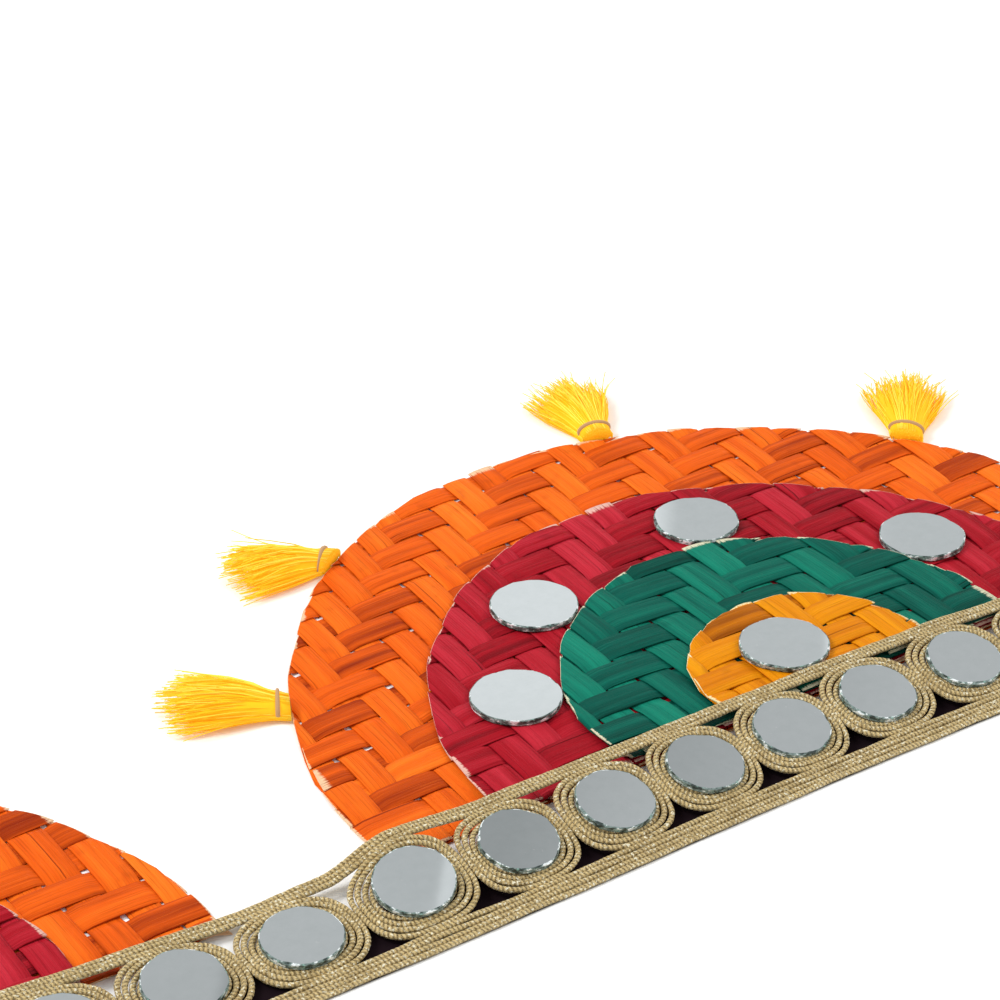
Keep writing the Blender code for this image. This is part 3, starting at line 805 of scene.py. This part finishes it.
small_points, small_walls, small_backs, small_tops = [], [], [], []
for number in range(RING_COUNT):
    placed, walls, caps = lace_glass(number)
    first = number * len(placed)
    small_points.append(placed)
    small_walls.append(walls + first)
    small_backs.append(caps[:1] + first)
    small_tops.append(caps[1:] + first)
small_faces = [np.concatenate(part) for part in (small_walls, small_backs, small_tops)]
small_glass = mesh_piece("lace_glass", np.concatenate(small_points), small_faces)
silver_top(small_glass, len(small_faces[0]) + RING_COUNT)
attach(small_glass, "root")
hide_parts("mirror_lace")


# The tassels.
# Short hanks of bright yellow silk, tied with the same thread and sewn to the orange mat's edge.
# They lie on the floor and their threads fan out, with a few strays.
THREADS = 400
THREAD_STEPS = 8
THREAD_SIDES = 3
THREAD_THICK = 0.40
# angle round the orange mat, the way the threads point, length from the mat to the tips
TASSELS = ((155.6, 144.0, 31.0), (123.5, 162.0, 28.0), (76.5, 79.0, 29.0), (35.0, 52.0, 31.0))
TASSEL_TURNS = (12.0, 0.0, -6.0)
# share of the length from the mat, and the hank's half width and height there
HANK = np.array(
    [
        (0.0, 4.4, 4.8),
        (0.08, 4.5, 5.4),
        (0.15, 4.6, 5.6),
        (0.3, 6.6, 7.5),
        (0.5, 8.8, 8.1),
        (0.75, 10.6, 7.5),
        (1.0, 11.6, 6.2),
    ]
)
# share of the length where the tie lies, and half its width along the hank
TIE_AT, TIE_THICK = 0.09, 0.5


def hank_size(share):
    """Half width and height of the hank at a share of its length, from the rows of HANK."""
    return np.interp(share, HANK[:, 0], HANK[:, 1]), np.interp(share, HANK[:, 0], HANK[:, 2])


def tassel_threads(length, seed, slant):
    """Paths of the threads in the tassel's own frame: along it, sideways and up, and their levels.

    A thread keeps its place in the hank's section, which grows along it, and wavers a little.
    The root follows the mat's edge, which crosses the hank at a slant.
    """
    draw = np.random.default_rng(seed)
    share = np.linspace(0, 1, THREAD_STEPS)[:, None]
    beside = np.clip(draw.normal(0, 0.55, THREADS), -1, 1)
    level = draw.uniform(0, 1, THREADS) ** 0.55
    tuft = 1 + 0.07 * np.sin(7 * beside + draw.uniform(0, 6.3))
    tuft = tuft + 0.04 * np.sin(17 * beside + draw.uniform(0, 6.3))
    reach = draw.uniform(0.74, 1.0, THREADS) * tuft * (1 - 0.12 * beside**2)
    stray = draw.uniform(0, 1, THREADS) < 0.14
    wide, high = hank_size(share * reach)
    roof = np.sqrt(np.maximum(0.12, 1 - 0.85 * beside**2))
    drift = np.where(stray, draw.normal(0, 0.35, THREADS), draw.normal(0, 0.10, THREADS))
    sideways = wide * (beside + drift * share**2)
    wave_size, wave_rate = draw.uniform(0.2, 1.0, THREADS), draw.uniform(3, 9, THREADS)
    wave = wave_size * np.sin(share * wave_rate + draw.uniform(0, 6.3, THREADS))
    sideways = sideways + wave * share
    up = 0.25 + high * roof * level * 0.92 + wave * 0.4 * share
    up = up + np.where(stray, draw.uniform(0, 2.6, THREADS), 0) * share**2
    along = share * reach * length + sideways * slant * np.maximum(0, 1 - share * 5)
    return np.stack([along, sideways, np.maximum(up, 0.25)], axis=-1).transpose(1, 0, 2), level


def thread_rings(paths, thick):
    """Three-sided tubes round many paths at once, tapered to their tips."""
    tangent = np.gradient(paths, axis=1)
    tangent /= np.linalg.norm(tangent, axis=2)[..., None]
    side = np.cross(tangent, (0, 0, 1.0))
    side /= np.linalg.norm(side, axis=2)[..., None]
    up = np.cross(side, tangent)
    turn = np.arange(THREAD_SIDES) * 2 * math.pi / THREAD_SIDES + 0.5
    taper = np.linspace(1, 0.6, paths.shape[1])[None, :, None, None]
    around = side[:, :, None] * np.cos(turn)[:, None] + up[:, :, None] * np.sin(turn)[:, None]
    return paths[:, :, None] + around * taper * thick / 2


def hank_section(share, size, length, slant, sides):
    """Rings of points round the hank's section, at shares of its length, with its size scaled."""
    turn = np.arange(sides) * 2 * math.pi / sides
    wide, high = hank_size(share)
    side = (wide * size)[:, None] * np.cos(turn)
    up = 0.1 + (high * size * 0.46)[:, None] * (1 + np.sin(turn))
    along = (share * length)[:, None] + side * slant * np.maximum(0, 1 - share * 5)[:, None]
    return np.stack([along, side, up], axis=-1)


def silk_finish():
    """Bright yellow silk: lighter and darker threads, those higher in the hank painted lighter as painted
    light, with a faint painted glow that lifts their shade.
    """
    material = bpy.data.materials.new("yellow_silk_thread")
    material.use_nodes = True
    tree = material.node_tree
    shader = tree.nodes["Principled BSDF"]
    tone_and_shade = named_value(tree, "tone_and_shade")
    colour = blend_colours(tree, remap(tree, tone_and_shade, 0.0, 0.5, 0.0, 1.0), dye("FBA612"), dye("FFC61F"))
    colour = blend_colours(tree, remap(tree, tone_and_shade, 0.55, 1.0, 0.0, 1.0), colour, dye("FFE65A"))
    colour = blend_colours(tree, remap(tree, tone_and_shade, -1.0, -0.5, 1.0, 0.0), colour, dye("B08A62"))
    tree.links.new(colour, shader.inputs["Base Color"])
    # painted glow: the emission lifts the threads' shade, though the silk gives no light
    tree.links.new(colour, shader.inputs["Emission Color"])
    shader.inputs["Emission Strength"].default_value = 0.22
    shader.inputs["Roughness"].default_value = 0.6
    shader.inputs["Specular IOR Level"].default_value = 0.2
    return material


silk = silk_finish()


def tassel_mesh(fan, number):
    """Threads, core and tie of one tassel, joined, in the hanging's millimetres."""
    angle, direction, length = TASSELS[number - 1]
    angle = math.radians(angle + TASSEL_TURNS[fan - 1])
    direction = math.radians(direction + TASSEL_TURNS[fan - 1])
    slant = math.tan(direction - angle)
    reach = mat_radius(fan, 0, angle) + SEAT
    fan_x, fan_y = fan_place(fan)
    _, centre_x, centre_y = mat_arc(fan, 0)
    root = np.array([fan_x + centre_x + reach * math.cos(angle), fan_y + centre_y + reach * math.sin(angle)])
    seed = 1000 + 10 * fan + number
    draw = np.random.default_rng(seed)
    paths, level = tassel_threads(length, seed, slant)
    rings = thread_rings(paths, THREAD_THICK)
    walls, caps, count = [], [], 0
    for _ in rings:
        wall, cap = sweep_faces(THREAD_STEPS, THREAD_SIDES, count)
        walls.append(wall)
        caps.append(cap)
        count += THREAD_STEPS * THREAD_SIDES
    # painted light: threads higher in the hank get a lighter tone and lower ones a darker, as if lit from
    # above; the rest of the tone is random
    thread_tone_and_shade = np.clip(0.45 * level + draw.uniform(-0.1, 0.55, THREADS), 0, 1)
    core_share = np.array([0, 0.08, 0.15, 0.3, 0.5, 0.68, 0.76])
    core_size = np.array([0.95, 1.0, 1.0, 0.9, 0.86, 0.8, 0.55])
    core = hank_section(core_share, core_size, length, slant, 20)
    tie_half = TIE_THICK / length
    tie_share = TIE_AT + np.array([-1.0, -0.9, 0.0, 0.9, 1.0]) * tie_half
    tie = hank_section(tie_share, np.array([1.0, 1.08, 1.12, 1.08, 1.0]), length, slant, 20)
    solids, tones_and_shade = [rings.reshape(-1, 3)], [np.repeat(thread_tone_and_shade, THREAD_STEPS * THREAD_SIDES)]
    body_caps = []
    for body, body_tone in ((core, 0.3), (tie, -1.0)):
        wall, cap = sweep_faces(len(body), 20, count)
        walls.append(wall)
        body_caps.append(cap)
        count += len(body) * 20
        solids.append(body.reshape(-1, 3))
        tones_and_shade.append(np.full(len(body) * 20, body_tone))
    points = np.concatenate(solids)
    ahead = np.array([math.cos(direction), math.sin(direction)])
    beside = np.array([-math.sin(direction), math.cos(direction)])
    flat = root + points[:, :1] * ahead + points[:, 1:2] * beside
    placed = np.concatenate([flat, np.maximum(points[:, 2:], 0.02)], axis=1)
    faces = [np.concatenate(walls), np.concatenate(caps), np.concatenate(body_caps)]
    return placed, faces, np.concatenate(tones_and_shade)


for fan in FANS:
    for number in range(1, 5):
        tassel_points, tassel_faces, tassel_tone_and_shade = tassel_mesh(fan, number)
        tassel_values = {"tone_and_shade": tassel_tone_and_shade}
        tassel = mesh_piece(f"fan_{fan}_silk_{number}", tassel_points, tassel_faces, None, tassel_values)
        tassel.data.materials.append(silk)
        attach(tassel, "root")
        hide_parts(f"fan_{fan}_tassel_{number}")
